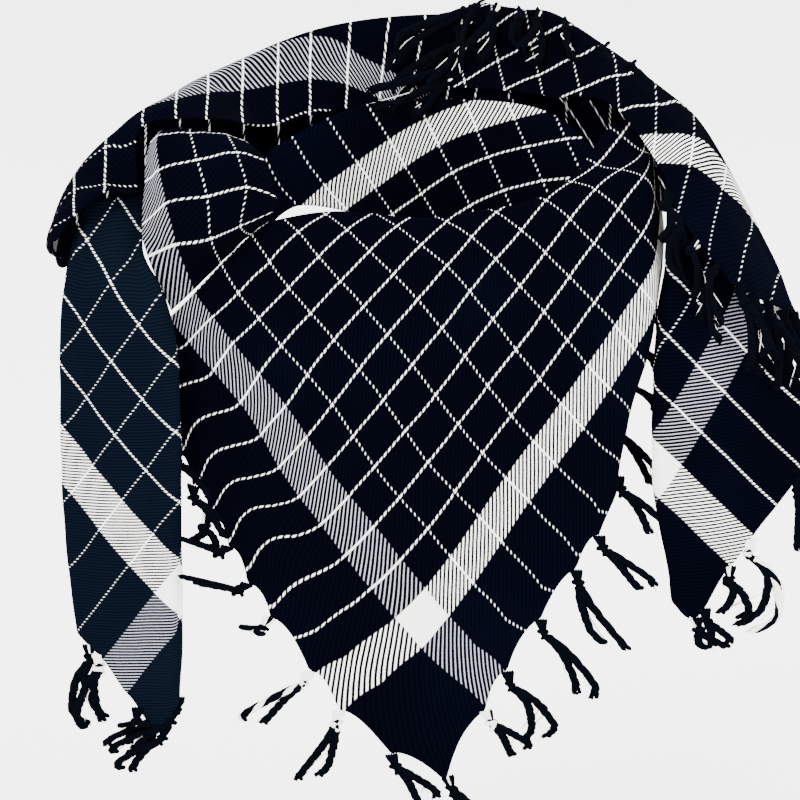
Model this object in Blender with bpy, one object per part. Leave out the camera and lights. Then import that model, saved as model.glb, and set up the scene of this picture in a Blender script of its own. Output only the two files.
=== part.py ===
"""A square woven headscarf (keffiyeh), worn as a neck wrap with nobody in it.

The square is folded to hang as a triangle on the chest. Its two long ends cross behind the
neck, come forward over the shoulders and hang down as two tails. Fringe runs along every hem.

Frame: +Z up, the chest looks along -Y, and the origin is the middle of the neck at the level
of the front neckline, where the wearer's neck holds the scarf up.

Cloth places are counted in cells of the woven check: `up` is the number of half cells up the
bias line through the point of the triangle, `side` the number of half cells across it.
Tables are in millimetres.
"""
import bmesh
import bpy
import numpy as np

MM = 0.001
WALL = 0.0016            # cloth wall of every stretch
FRINGE_WALL = 0.0012     # plain solid that stands for a row of tassels
SEAM = 0.0003            # clear gap where two pieces meet edge to edge
REACH = 0.066            # tassel length, knot included
HEM = -2.66              # the hem, in cells from the line before the first check line
TOP_LEFT = 10.0          # the check line where the triangle's left side turns over the shoulder
SIDE_MAX = 10.6          # how far round the right side the triangle reaches, in half cells
CORNER = 0.1             # the triangle's left corner is cut back by this much, in half cells

# The triangle on the chest: one row for each two half cells up from just below its point.
TRIANGLE_FIRST = -6.0
TRIANGLE_STEP = 2.0
TRIANGLE_COLUMNS = ("z", "x", "y", "left", "right", "fall", "rise", "turn")
TRIANGLE_ROWS = (
    # height, middle x and depth; half cell to the left and right; slope each side; side turn
    (-449, 38, -126, 22.0, 22.0, 0.0, 0.5, 400),
    (-392, 30, -133, 24.0, 22.0, 0.0, 1.5, 400),
    (-337, 20, -137, 25.0, 22.0, -0.8, 2.4, 300),
    (-281, 20, -140, 24.5, 22.0, -1.2, 3.0, 165),
    (-224, 22, -140, 23.0, 21.6, -1.6, 3.2, 136),
    (-171, 22, -135, 21.0, 21.6, -2.5, 3.1, 142),
    (-118, 28, -127, 20.5, 20.6, -2.7, 3.0, 152),
    (-67, 33, -114, 21.4, 20.2, -3.0, 3.0, 152),
    (-21, 37, -96, 21.1, 19.5, -3.6, 2.6, 146),
    (9, 37, -71, 19.8, 19.7, -2.0, 4.0, 144),
    (24, 37, -48, 19.0, 20.0, -0.5, 4.0, 142),
    (48, 37, 5, 19.0, 20.0, 0.0, 4.0, 138),
)
NECKLINE = 12.3          # the front neckline, in half cells up
NECK_RISE = 0.9          # its rise left of the middle
RIGHT_TOP = 15.6         # where the right side ends under the shoulder stretch
CHEST_CURVE = {"left": 1.1, "right": 0.8}    # plan curvature of the chest, per metre
TURN_ANGLE = 1.5         # the right side turns back by this much
TURN_LENGTH = 0.034
TURN_OPEN = 0.42         # it turns back less by this, most at this height on the cloth
TURN_OPEN_AT = 9.5
TURN_OPEN_SPREAD = 4.0
CHEST_PLEAT = 0.0035     # depth of the soft pleats that run down the triangle
CHEST_RIDGE = 0.006      # height of the one strong ridge, right of the middle

# The lower left hem hangs out of line: how far its cloth lies to the left and below, at each
# cell along the hem from the point of the triangle.
HEM_PULL = ((0, 0), (15, 10), (24, 3), (18, -5), (13, -9), (8, -6), (4, -3), (0, 0))
PULL_REACH = 2.4         # cells from the hem to where the pull has faded out

# The left side where it turns up over the shoulder: one row for each check line, with its
# points at the outer hem, the band, the first and second lines and the neck side.
ROLL_CELLS = (-0.6, 0.15, 1.0, 2.0, 2.7)
ROLL_START = 0.018       # keeps the roll a seam's gap off the triangle, as a share of its length
ROLL_ROWS = (
    ((-200, -44, -25), (-177, -62, -11), (-150, -68, -5), (-126, -62, 4), (-101, -48, 12)),
    ((-205, -22, -4), (-185, -42, 18), (-153, -48, 24), (-122, -42, 31), (-98, -30, 20)),
    ((-203, 2, 26), (-191, -18, 40), (-161, -26, 49), (-130, -20, 55), (-108, -8, 45)),
    ((-199, 22, 54), (-192, 5, 62), (-167, -5, 67), (-138, 0, 65), (-115, 12, 50)),
    ((-188, 40, 50), (-182, 30, 58), (-166, 25, 62), (-142, 26, 56), (-122, 33, 40)),
    ((-180, 56, 25), (-176, 50, 34), (-163, 48, 38), (-146, 49, 32), (-130, 54, 18)),
)

# The stretch that shows inside the neck: sections from the left to the right, each with its
# bottom, middle and top points.
NAPE_ROWS = (
    ((-106, -6, -10), (-114, 10, 10), (-120, 26, 32)),
    ((-80, 24, 2), (-84, 40, 28), (-88, 54, 51)),
    ((-28, 56, -12), (-28, 68, 32), (-28, 78, 73)),
    ((42, 56, -18), (44, 70, 30), (46, 80, 77)),
    ((98, 26, -20), (110, 38, 28), (120, 50, 72)),
    ((146, -28, -26), (160, -18, 8), (168, -4, 38)),
)

# The end that crosses the nape to the left shoulder: sections from the nape outwards, each
# with its front, face, crest, back and hem points.
BACK_LEFT_ROWS = (
    ((100, 86, 76), (100, 99, 100), (102, 112, 125), (104, 127, 90), (106, 131, 20)),
    ((40, 88, 76), (40, 106, 110), (40, 123, 137), (40, 142, 95), (40, 146, 18)),
    ((-52, 86, 68), (-54, 103, 100), (-56, 121, 130), (-56, 144, 92), (-56, 150, 8)),
    ((-106, 48, 62), (-122, 76, 87), (-136, 101, 101), (-144, 128, 66), (-147, 136, -8)),
    ((-148, -2, 78), (-164, 32, 89), (-178, 66, 86), (-194, 92, 50), (-198, 100, -22)),
    ((-207, 24, 66), (-211, 34, 69), (-218, 50, 66), (-236, 68, 30), (-240, 76, -38)),
    ((-210, -10, 22), (-229, 2, 33), (-250, 20, 37), (-268, 40, 5), (-270, 52, -55)),
    ((-234, -26, 24), (-256, -24, 17), (-275, -12, 0), (-281, 10, -20), (-275, 26, -38)),
    ((-264, -38, 4), (-271, -36, -10), (-279, -24, -20), (-279, -4, -31), (-271, 12, -38)),
)

# The end that crosses behind it to the right shoulder, with the same points.
BACK_RIGHT_ROWS = (
    ((40, 82, 87), (50, 103, 119), (68, 124, 147), (70, 155, 100), (70, 160, 15)),
    ((84, 78, 85), (88, 99, 116), (98, 119, 143), (102, 146, 98), (104, 153, 10)),
    ((122, 58, 84), (126, 85, 113), (132, 108, 136), (138, 134, 95), (142, 142, 2)),
    ((166, 14, 88), (178, 42, 106), (196, 74, 99), (208, 96, 60), (214, 105, -15)),
    ((203, -44, 54), (220, -4, 74), (234, 46, 70), (248, 70, 30), (250, 78, -30)),
    ((219, -64, 17), (242, -38, 38), (266, 12, 25), (276, 40, -5), (275, 50, -52)),
    ((238, -84, -6), (264, -66, -2), (292, -22, -30), (301, 6, -58), (298, 20, -90)),
    ((262, -100, -34), (287, -90, -50), (315, -44, -74), (319, -12, -90), (313, 2, -112)),
)

# The two hanging tails: a flattened, open loop at each height.
TAIL_COLUMNS = ("z", "inner", "outer", "y", "depth", "turn")
TAIL_LEFT_ROWS = (
    # height, x of the inner fold and of the outer edge, middle depth, thickness, turn in plan
    (14, -202, -252, 8, 20, -16),
    (-24, -205, -262, -29, 26, -2),
    (-48, -187, -268, -60, 32, 14),
    (-80, -176, -271, -80, 36, 14),
    (-150, -172, -271, -98, 36, 12),
    (-230, -172, -266, -105, 34, 12),
    (-310, -173, -258, -106, 30, 12),
    (-400, -175, -248, -104, 26, 12),
)
TAIL_RIGHT_ROWS = (
    (12, 212, 246, -28, 22, -14),
    (-22, 211, 264, -50, 30, -14),
    (-55, 207, 284, -66, 36, -14),
    (-100, 205, 311, -80, 38, -12),
    (-150, 203, 326, -89, 36, -12),
    (-205, 204, 322, -95, 34, -12),
    (-255, 210, 308, -97, 32, -12),
    (-305, 217, 296, -97, 28, -12),
)
# Where each tail's hem lies, across from its outer edge to its inner fold.
TAIL_LEFT_HEM = (-314, -319, -338, -394, -374, -365)
TAIL_RIGHT_HEM = (-165, -182, -226, -300, -294, -285)
LOOP_FROM = 150          # the loop starts behind the outer edge, in degrees round it
LOOP_TO = 395            # and ends behind the inner fold


def ease(value):
    """A smooth step from 0 to 1."""
    value = np.clip(value, 0.0, 1.0)
    return value * value * (3.0 - 2.0 * value)


def spans(place, count):
    """The four neighbouring rows of each place from 0 to 1 and their smooth weights."""
    scaled = np.clip(place, 0.0, 1.0) * (count - 1)
    first = np.clip(np.floor(scaled).astype(int), 0, count - 2)
    t = scaled - first
    weights = (
        (-t + 2 * t**2 - t**3) / 2,
        (2 - 5 * t**2 + 3 * t**3) / 2,
        (t + 4 * t**2 - 3 * t**3) / 2,
        (-(t**2) + t**3) / 2,
    )
    rows = [np.clip(first + step, 0, count - 1) for step in (-1, 0, 1, 2)]
    return rows, weights


def along(table, place):
    """A smooth curve through the rows of a table."""
    table = np.asarray(table, float)
    rows, weights = spans(place, len(table))
    shape = (-1,) + (1,) * (table.ndim - 1)
    return sum(w.reshape(shape) * table[r] for r, w in zip(rows, weights))


def loft(table, p, q):
    """A smooth surface through sections: p runs along the rows, q across their columns."""
    table = np.asarray(table, float) * MM
    rows, row_weights = spans(p, table.shape[0])
    columns, column_weights = spans(q, table.shape[1])
    place = 0.0
    for row, row_weight in zip(rows, row_weights):
        for column, column_weight in zip(columns, column_weights):
            place = place + (row_weight * column_weight)[:, None] * table[row, column]
    return place


def normals(surface, p, q):
    """Unit normals of a surface, by small steps each way."""
    step = 0.004
    down = surface(np.clip(p + step, 0, 1), q) - surface(np.clip(p - step, 0, 1), q)
    over = surface(p, np.clip(q + step, 0, 1)) - surface(p, np.clip(q - step, 0, 1))
    normal = np.cross(down, over)
    return normal / np.maximum(np.linalg.norm(normal, axis=1), 1e-12)[:, None]


def pleated(surface, depth, count, lean):
    """The same surface with soft, uneven pleats that fade out at its edges."""

    def with_pleats(p, q):
        wave = np.sin(2 * np.pi * (count * q + lean * p + 0.07 * np.sin(9 * p)))
        wave = wave * (0.7 + 0.3 * np.sin(5 * q + 3 * p))
        fade = ease(6 * q) * ease(6 * (1 - q)) * ease(8 * p) * ease(8 * (1 - p))
        return surface(p, q) + normals(surface, p, q) * (depth * wave * fade)[:, None]

    return with_pleats


# --- the triangle on the chest ---------------------------------------------------------------


def triangle_sizes(up):
    """The named sizes of the triangle's cross section at each height on the cloth."""
    rows = along(TRIANGLE_ROWS, (up - TRIANGLE_FIRST) / (TRIANGLE_STEP * (len(TRIANGLE_ROWS) - 1)))
    return dict(zip(TRIANGLE_COLUMNS, rows.T))


def plan(length, curve, turn, turn_angle):
    """Across and back distances after following the chest round by a length."""
    steps = 20
    across = np.zeros_like(length)
    back = np.zeros_like(length)
    for index in range(steps):
        here = length * (index + 0.5) / steps
        angle = 2 * curve * here + turn_angle * ease((here - turn) / TURN_LENGTH)
        across += np.cos(angle) * length / steps
        back += np.sin(angle) * length / steps
    return across, back


def hem_pull(side, up):
    """How far the cloth near the lower left hem lies to the left and below."""
    inwards = (up + side) / 2 - HEM
    pull = along(HEM_PULL, ((up - side) / 2 - HEM) / (len(HEM_PULL) - 1)) * MM
    return pull * (np.clip(1 - inwards / PULL_REACH, 0, 1) ** 1.5)[:, None]


def triangle_at(side, up):
    """The place of a point of the triangle, from its place on the cloth."""
    size = triangle_sizes(up)
    reach = np.abs(side)
    right = side > 0
    length = reach * np.where(right, size["right"], size["left"]) * MM
    curve = np.where(right, CHEST_CURVE["right"], CHEST_CURVE["left"])
    turn = np.where(right, size["turn"] * MM, 1.0)
    turn_angle = TURN_ANGLE - TURN_OPEN * np.exp(-(((up - TURN_OPEN_AT) / TURN_OPEN_SPREAD) ** 2))
    across, back = plan(length, curve, turn, turn_angle)
    pull = hem_pull(side, up)
    x = size["x"] * MM + np.where(right, across, -across) - pull[:, 0]
    y = size["y"] * MM + back
    z = (size["z"] + reach * np.where(right, size["rise"], size["fall"])) * MM - pull[:, 1]
    pleat = CHEST_PLEAT * np.sin(1.15 * side + 0.3 * up) * ease((12 - up) / 6)
    crest = 2.6 + 0.12 * (12 - up)
    ridge = CHEST_RIDGE * np.exp(-(((side - crest) / 0.9) ** 2)) * ease((up - 3) / 6)
    return np.stack([x, y - pleat - ridge, z], axis=1)


def triangle_top(side):
    """The triangle's upper edge: the neckline, the left check line and the right shoulder."""
    neckline = NECKLINE + (RIGHT_TOP - NECKLINE) * ease((side - 3.6) / 3.4)
    neckline = neckline + NECK_RISE * np.exp(-(((side + 4.6) / 2.6) ** 2))
    return np.minimum(neckline, 2 * TOP_LEFT + side)


def triangle(p, q):
    """p runs from the hem to the upper edge, q from the left to the right."""
    left = HEM - TOP_LEFT + CORNER
    side = left + q * (SIDE_MAX - left)
    bottom = np.abs(side) + 2 * HEM
    up = bottom + p * (triangle_top(side) - bottom)
    return triangle_at(side, up)


# --- the left shoulder -----------------------------------------------------------------------


def shoulder_left(p, q):
    """The roll of cloth over the left shoulder; it starts on the triangle's upper left line."""
    stations = np.array(ROLL_CELLS)
    joined = triangle_at(stations - TOP_LEFT, stations + TOP_LEFT) / MM
    table = [joined] + [np.array(row) for row in ROLL_ROWS]
    cells = along(stations[:, None], q)[:, 0]
    start = triangle_at(cells - TOP_LEFT, cells + TOP_LEFT) - loft(table, np.zeros_like(q), q)
    p = ROLL_START + p * (1 - ROLL_START)
    return loft(table, p, q) + start * (1 - ease(6 * p))[:, None]


# --- the tails -------------------------------------------------------------------------------


def tail(rows, hem, p, q):
    """A flattened open loop: q runs round it from its outer edge, p from its top to its hem."""
    rows = np.asarray(rows, float)
    hem_z = along(np.asarray(hem, float)[:, None], q)[:, 0]
    z = rows[0, 0] + p * (hem_z - rows[0, 0])
    place = np.interp(-z, -rows[:, 0], np.linspace(0, 1, len(rows)))
    size = dict(zip(TAIL_COLUMNS, along(rows, place).T))
    angle = np.radians(LOOP_FROM + q * (LOOP_TO - LOOP_FROM))
    half = (size["inner"] - size["outer"]) / 2
    across = half * np.sign(np.cos(angle)) * np.abs(np.cos(angle)) ** 0.8
    back = size["depth"] / 2 * np.sin(angle)
    turn = np.radians(size["turn"])
    x = (size["inner"] + size["outer"]) / 2 + across * np.cos(turn) + back * np.sin(turn)
    y = size["y"] - across * np.sin(turn) + back * np.cos(turn)
    return np.stack([x, y, z], axis=1) * MM


def tail_left(p, q):
    return tail(TAIL_LEFT_ROWS, TAIL_LEFT_HEM, p, q)


def tail_right(p, q):
    return tail(TAIL_RIGHT_ROWS, TAIL_RIGHT_HEM, p, q)


def nape(p, q):
    return loft(NAPE_ROWS, p, q)


def back_left(p, q):
    return loft(BACK_LEFT_ROWS, p, q)


def back_right(p, q):
    return loft(BACK_RIGHT_ROWS, p, q)


# --- solids ----------------------------------------------------------------------------------


def material(name, colour, roughness):
    made = bpy.data.materials.new(name)
    made.use_nodes = True
    shader = made.node_tree.nodes["Principled BSDF"]
    shader.inputs["Base Color"].default_value = (*colour, 1.0)
    shader.inputs["Roughness"].default_value = roughness
    shader.inputs["Metallic"].default_value = 0.0
    return made


def sheet(name, surface, rows, columns, wall, finish):
    """One named solid: a grid laid on a surface and given its wall."""
    grid = bmesh.new()
    bmesh.ops.create_grid(grid, x_segments=rows, y_segments=columns, size=0.5)
    places = np.array([vert.co for vert in grid.verts]) + 0.5
    for vert, place in zip(grid.verts, surface(places[:, 0], places[:, 1])):
        vert.co = place
    mesh = bpy.data.meshes.new(name)
    grid.to_mesh(mesh)
    grid.free()
    mesh.shade_smooth()
    mesh.materials.append(finish)
    made = bpy.data.objects.new(name, mesh)
    bpy.context.scene.collection.objects.link(made)
    thicken = made.modifiers.new("Wall", "SOLIDIFY")
    thicken.thickness = wall
    thicken.offset = 0.0
    return made


def edge_of(surface, side, at, first, last):
    """A line on a surface: its row at a fixed p, or its column at a fixed q."""

    def line(place):
        place = first + place * (last - first)
        fixed = np.full_like(place, at)
        return surface(fixed, place) if side == "p" else surface(place, fixed)

    return line


def fringe(edge, inside, drop, sway):
    """Tassels that run on from an edge and then hang: p along the edge, q down the tassels."""

    def surface(p, q):
        start = edge(p)
        out = start - inside(p)
        out = out / np.linalg.norm(out, axis=1)[:, None]
        down = np.array([*sway, -1.0])
        q = q[:, None]
        gap = 2 * SEAM + WALL / 2
        return start + out * (gap + REACH * (q - drop * q**2)) + down * REACH * drop * q**2

    return surface


def laid_on(surface, p_ends, q_ends, clear):
    """A strip made from a panel's own points, moved out from it."""

    def strip(p, q):
        at_p = p_ends[0] + p * (p_ends[1] - p_ends[0])
        at_q = q_ends[0] + q * (q_ends[1] - q_ends[0])
        return surface(at_p, at_q) + normals(surface, at_p, at_q) * clear

    return strip


# Each stretch of cloth: its pleats' depth, their count across, how far they lean, and its grid.
PANEL_COLUMNS = ("node", "surface", "depth", "count", "lean", "rows", "columns")
PANELS = (
    ("bib_front", triangle, 0.0, 0.0, 0.0, 18, 26),
    ("shoulder_left", shoulder_left, 0.002, 1.5, 0.4, 11, 9),
    ("nape_inner", nape, 0.0015, 1.0, 1.5, 14, 6),
    ("back_left", back_left, 0.002, 1.0, 3.0, 22, 11),
    ("back_right", back_right, 0.002, 1.0, 3.0, 21, 11),
    ("tail_left", tail_left, 0.0025, 4.0, 0.5, 10, 20),
    ("tail_right", tail_right, 0.0025, 4.0, -0.5, 9, 20),
)

# Each hem's fringe: the panel and its hem, a line just inside it, the stretch of hem that it
# covers, how much the tassels drop, and how far they swing across and forward as they do.
FRINGE_GRID = (14, 3)
FRINGE_COLUMNS = ("node", "panel", "side", "hem", "inside", "first", "last", "drop", "sway")
FRINGES = (
    ("fringe_bib_left", "bib_front", "p", 0.0, 0.04, 0.19, 0.52, 0.45, (-0.4, 0.0)),
    ("fringe_bib_right", "bib_front", "p", 0.0, 0.04, 0.56, 0.92, 0.5, (0.0, 0.0)),
    ("fringe_tail_left", "tail_left", "p", 1.0, 0.96, 0.12, 0.86, 0.3, (0.0, 0.0)),
    ("fringe_tail_right", "tail_right", "p", 1.0, 0.96, 0.12, 0.86, 0.3, (0.0, 0.0)),
    ("fringe_nape_end", "back_right", "p", 0.0, 0.04, 0.03, 0.46, 0.45, (0.1, -0.7)),
    ("fringe_shoulder_front", "back_right", "q", 0.0, 0.06, 0.66, 0.97, 0.6, (0.12, -0.2)),
    ("fringe_shoulder_end", "back_right", "p", 1.0, 0.96, 0.06, 0.46, 0.5, (0.15, -0.5)),
)

# The fringe that lies folded back on the right stretch, behind its crest.
TOP_FRINGE = {"panel": "back_right", "p_ends": (0.05, 0.44), "q_ends": (0.46, 0.2), "clear": 0.004}


def build():
    for old in list(bpy.data.objects):
        bpy.data.objects.remove(old)
    cloth = material("black and white twill", (0.012, 0.016, 0.026), 0.85)
    yarn = material("fringe yarn", (0.02, 0.022, 0.03), 0.8)

    surfaces = {}
    for values in PANELS:
        panel = dict(zip(PANEL_COLUMNS, values))
        surface = pleated(panel["surface"], panel["depth"], panel["count"], panel["lean"])
        surfaces[panel["node"]] = surface
        sheet(panel["node"], surface, panel["rows"], panel["columns"], WALL, cloth)

    for values in FRINGES:
        hem = dict(zip(FRINGE_COLUMNS, values))
        panel = surfaces[hem["panel"]]
        edge = edge_of(panel, hem["side"], hem["hem"], hem["first"], hem["last"])
        inside = edge_of(panel, hem["side"], hem["inside"], hem["first"], hem["last"])
        tassels = fringe(edge, inside, hem["drop"], hem["sway"])
        sheet(hem["node"], tassels, *FRINGE_GRID, FRINGE_WALL, yarn)

    top = surfaces[TOP_FRINGE["panel"]]
    tassels = laid_on(top, TOP_FRINGE["p_ends"], TOP_FRINGE["q_ends"], TOP_FRINGE["clear"])
    sheet("fringe_back_top", tassels, *FRINGE_GRID, FRINGE_WALL, yarn)


build()
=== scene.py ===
"""The looks of a square woven headscarf worn as a neck wrap: twill cloth, check, bands, fringe.

Frame: +Z up, the chest looks along -Y, and the origin is the middle of the neck. Cloth places
are counted in cells of the check from the hem-side border: the bands lie just below cell 0, and
the check lines are at 1, 2, 3 and so on. Surfaces and tables of places are in millimetres.
"""

import math

import bmesh
import bpy
import numpy as np
from mathutils import Matrix, Vector


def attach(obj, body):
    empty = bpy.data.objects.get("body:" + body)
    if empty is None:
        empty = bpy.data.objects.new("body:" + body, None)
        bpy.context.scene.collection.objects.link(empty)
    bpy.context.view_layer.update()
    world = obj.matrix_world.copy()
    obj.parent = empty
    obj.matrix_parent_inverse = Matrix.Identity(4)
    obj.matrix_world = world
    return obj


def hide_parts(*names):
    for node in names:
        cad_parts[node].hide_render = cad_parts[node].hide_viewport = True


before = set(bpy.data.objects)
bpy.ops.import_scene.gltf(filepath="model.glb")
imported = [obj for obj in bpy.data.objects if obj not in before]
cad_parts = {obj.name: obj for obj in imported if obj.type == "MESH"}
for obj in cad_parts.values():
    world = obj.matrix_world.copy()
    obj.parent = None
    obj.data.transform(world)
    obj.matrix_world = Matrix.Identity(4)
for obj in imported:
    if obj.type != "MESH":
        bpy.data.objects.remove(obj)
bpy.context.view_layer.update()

MM = 0.001
CELL = 0.0363            # one cell of the check
CELLS_ACROSS = 25.0      # from one border to the far one: cells count down again past halfway
HEM = -2.66              # the hem, in cells from the line before the first check line
WALL = 0.0012            # cloth thickness
BAND = (-0.73, 0.15)     # the band along the border
TOP_LEFT = 10.0          # the check line where the triangle's left side turns over the shoulder
SIDE_MAX = 10.6          # how far round the right side the triangle reaches, in half cells
CORNER = 0.1             # the triangle's left corner is cut back by this much, in half cells

# --- the forms -----------------------------------------------------------------------------------

TRIANGLE_FIRST = -6.0
TRIANGLE_STEP = 2.0
TRIANGLE_COLUMNS = ("z", "x", "y", "left", "right", "fall", "rise", "turn")
TRIANGLE_ROWS = (
    # height, middle x and depth; half cell to the left and right; slope each side; side turn
    (-449, 38, -126, 22.0, 22.0, 0.0, 0.5, 400),
    (-392, 30, -133, 24.0, 22.0, 0.0, 1.5, 400),
    (-337, 20, -137, 25.0, 22.0, -0.8, 2.4, 300),
    (-281, 20, -140, 24.5, 22.0, -1.2, 3.0, 165),
    (-224, 22, -140, 23.0, 21.6, -1.6, 3.2, 136),
    (-171, 22, -135, 21.0, 21.6, -2.5, 3.1, 142),
    (-118, 28, -127, 20.5, 20.6, -2.7, 3.0, 152),
    (-67, 33, -114, 21.4, 20.2, -3.0, 3.0, 152),
    (-21, 37, -96, 21.1, 19.5, -3.6, 2.6, 146),
    (9, 37, -71, 19.8, 19.7, -2.0, 4.0, 144),
    (24, 37, -48, 19.0, 20.0, -0.5, 4.0, 142),
    (48, 37, 5, 19.0, 20.0, 0.0, 4.0, 138),
)
NECKLINE = 12.3          # the front neckline, in half cells up
NECK_RISE = 0.9          # it rises by this at the left, about this place and this wide
NECK_RISE_AT = -4.6
NECK_RISE_WIDTH = 2.6
RIGHT_TOP = 15.6         # and climbs to this at the right, from this place and over this far
CLIMB_FROM = 3.6
CLIMB_REACH = 3.4
CHEST_CURVE = {"left": 1.1, "right": 0.8}    # plan curvature of the chest, per metre
TURN_ANGLE = 1.5         # the right side turns back by this much
TURN_LENGTH = 0.034
TURN_OPEN = 0.42         # it turns back less by this, most at this height on the cloth
TURN_OPEN_AT = 9.5
TURN_OPEN_SPREAD = 4.0
CHEST_PLEAT = 0.0035     # depth of the soft pleats that run down the triangle
CHEST_WAVE = (1.15, 0.3)  # how fast they follow one another, across and up
CHEST_TOP = 12           # pleats and ridge are measured down from here, in half cells
CHEST_FADE = 6           # and fade in over this far
CHEST_RIDGE = 0.006      # height of the one strong ridge, right of the middle
RIDGE_AT = 2.6           # its place at the top, how far it leans for each half cell down
RIDGE_LEAN = 0.12
RIDGE_WIDTH = 0.9        # how wide it is, and where it has gone
RIDGE_FROM = 3

# The lower left hem hangs out of line: how far its cloth lies to the left and below, at each
# cell along the hem from the point of the triangle.
HEM_PULL = ((0, 0), (15, 10), (24, 3), (18, -5), (13, -9), (8, -6), (4, -3), (0, 0))
PULL_REACH = 2.4         # cells from the hem to where the pull has faded out
PULL_FADE = 1.5

# The roll over the left shoulder: outer hem, band, first and second lines, neck side.
ROLL_CELLS = (-0.6, 0.15, 1.0, 2.0, 2.7)
ROLL_START = 0.018       # keeps the roll a seam's gap off the triangle, as a share of its length
ROLL_ROWS = (
    ((-200, -44, -25), (-177, -62, -11), (-150, -68, -5), (-126, -62, 4), (-101, -48, 12)),
    ((-205, -22, -4), (-185, -42, 18), (-153, -48, 24), (-122, -42, 31), (-98, -30, 20)),
    ((-203, 2, 26), (-191, -18, 40), (-161, -26, 49), (-130, -20, 55), (-108, -8, 45)),
    ((-199, 22, 54), (-192, 5, 62), (-167, -5, 67), (-138, 0, 65), (-115, 12, 50)),
    ((-188, 40, 50), (-182, 30, 58), (-166, 25, 62), (-142, 26, 56), (-122, 33, 40)),
    ((-180, 56, 25), (-176, 50, 34), (-163, 48, 38), (-146, 49, 32), (-130, 54, 18)),
)

# Inside the neck: bottom, middle and top points; and their cloth places (u, v).
NAPE_ROWS = (
    ((-106, -6, -10), (-114, 10, 10), (-120, 26, 32)),
    ((-80, 24, 2), (-84, 40, 28), (-88, 54, 51)),
    ((-28, 56, -12), (-28, 68, 32), (-28, 78, 73)),
    ((42, 56, -18), (44, 70, 30), (46, 80, 77)),
    ((98, 26, -20), (110, 38, 28), (120, 50, 72)),
    ((146, -28, -26), (160, -18, 8), (168, -4, 38)),
)
NAPE_CELLS = (
    ((16.2, -0.9), (15.9, -1.4), (15.6, -2.0)),
    ((14.9, -0.75), (14.37, -1.5), (14.05, -2.2)),
    ((13.65, 0.55), (12.75, -0.7), (12.05, -1.8)),
    ((11.65, 2.1), (10.8, 0.7), (10.15, -0.9)),
    ((10.0, 3.2), (9.0, 1.7), (8.1, 0.2)),
    ((8.9, 3.8), (8.0, 2.8), (7.3, 1.9)),
)

# Across the nape to the left shoulder: front, face, crest, back and hem points.
BACK_LEFT_ROWS = (
    ((100, 86, 76), (100, 99, 100), (102, 112, 125), (104, 127, 90), (106, 131, 20)),
    ((40, 88, 76), (40, 106, 110), (40, 123, 137), (40, 142, 95), (40, 146, 18)),
    ((-52, 86, 68), (-54, 103, 100), (-56, 121, 130), (-56, 144, 92), (-56, 150, 8)),
    ((-106, 48, 62), (-122, 76, 87), (-136, 101, 101), (-144, 128, 66), (-147, 136, -8)),
    ((-148, -2, 78), (-164, 32, 89), (-178, 66, 86), (-194, 92, 50), (-198, 100, -22)),
    ((-207, 24, 66), (-211, 34, 69), (-218, 50, 66), (-236, 68, 30), (-240, 76, -38)),
    ((-210, -10, 22), (-229, 2, 33), (-250, 20, 37), (-268, 40, 5), (-270, 52, -55)),
    ((-234, -26, 24), (-256, -24, 17), (-275, -12, 0), (-281, 10, -20), (-275, 26, -38)),
    ((-264, -38, 4), (-271, -36, -10), (-279, -24, -20), (-279, -4, -31), (-271, 12, -38)),
)
BACK_LEFT_U = (
    (-1.6, -2.2, -2.5, -2.6, -2.66),
    (-0.9, -1.9, -2.3, -2.5, -2.66),
    (0.95, -0.27, -1.1, -2.0, -2.66),
    (1.0, 0.15, -0.75, -1.8, -2.66),
    (0.9, 0.15, -0.7, -1.7, -2.66),
    (0.7, 0.5, 0.3, -1.2, -2.66),
    (2.1, 1.6, 1.05, -0.4, -2.2),
    (2.5, 2.4, 2.5, 1.2, -0.2),
    (3.1, 3.5, 3.4, 2.4, 1.0),
)
# The check lines that cross it stand upright: their cell at each place across.
BACK_LEFT_LINES = (
    ("x", (-285, -259, -235, -205, -178, -154, -126, -98, -72, -42, -14, 12, 42, 64, 102)),
    ("v", (4.0, 5.0, 6.0, 7.0, 8.0, 9.0, 10.0, 11.0, 12.0, 13.0, 14.0, 15.0, 16.0, 17.0, 18.4)),
)
BACK_LEFT_LEAN = 0.22    # how far the lines lean, towards the nape
LEAN_HEIGHT = 95.0       # they lean about this height
LEAN_FROM = -80          # from this place across, over this far
LEAN_REACH = 120
LEAN_END = 0.75          # and only on the front, up to this share across the cloth

# Behind it to the right shoulder: the same points, and their cloth places (u, v).
BACK_RIGHT_ROWS = (
    ((40, 82, 87), (50, 103, 119), (68, 124, 147), (70, 155, 100), (70, 160, 15)),
    ((84, 78, 85), (88, 99, 116), (98, 119, 143), (102, 146, 98), (104, 153, 10)),
    ((122, 58, 84), (126, 85, 113), (132, 108, 136), (138, 134, 95), (142, 142, 2)),
    ((166, 14, 88), (178, 42, 106), (196, 74, 99), (208, 96, 60), (214, 105, -15)),
    ((203, -44, 54), (220, -4, 74), (234, 46, 70), (248, 70, 30), (250, 78, -30)),
    ((219, -64, 17), (242, -38, 38), (266, 12, 25), (276, 40, -5), (275, 50, -52)),
    ((238, -84, -6), (264, -66, -2), (292, -22, -30), (301, 6, -58), (298, 20, -90)),
    ((262, -100, -34), (287, -90, -50), (315, -44, -74), (319, -12, -90), (313, 2, -112)),
)
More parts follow.
